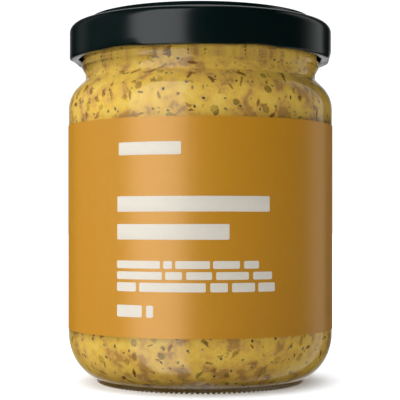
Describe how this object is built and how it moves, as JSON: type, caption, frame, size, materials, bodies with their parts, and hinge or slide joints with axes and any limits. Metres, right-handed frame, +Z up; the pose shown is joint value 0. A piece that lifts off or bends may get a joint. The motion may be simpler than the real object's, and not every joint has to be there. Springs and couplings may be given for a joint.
{
  "type": "mustard jar",
  "caption": "Shut round glass jar of wholegrain mustard with a dark metal lug lid and a plain ochre paper label wrapped round its straight side.",
  "frame": {"origin": "centre of the foot ring, on the surface the jar stands on", "axes": "+Z up along the jar's axis, -Y towards the front of the label"},
  "size_m": [0.0676, 0.0674, 0.0912],
  "materials": {
    "clear_glass": "clear, smooth",
    "grainy_mustard": "moist coarse-ground yellow mustard with brown bran and dark seed specks",
    "ochre_paper": "satin coated paper, ochre print",
    "dark_lacquer": "high gloss, very dark green"
  },
  "bodies": {
    "root": {"glass_jar": "clear_glass", "mustard": "grainy_mustard", "label": "ochre_paper", "lid": "dark_lacquer"}
  },
  "joints": []
}
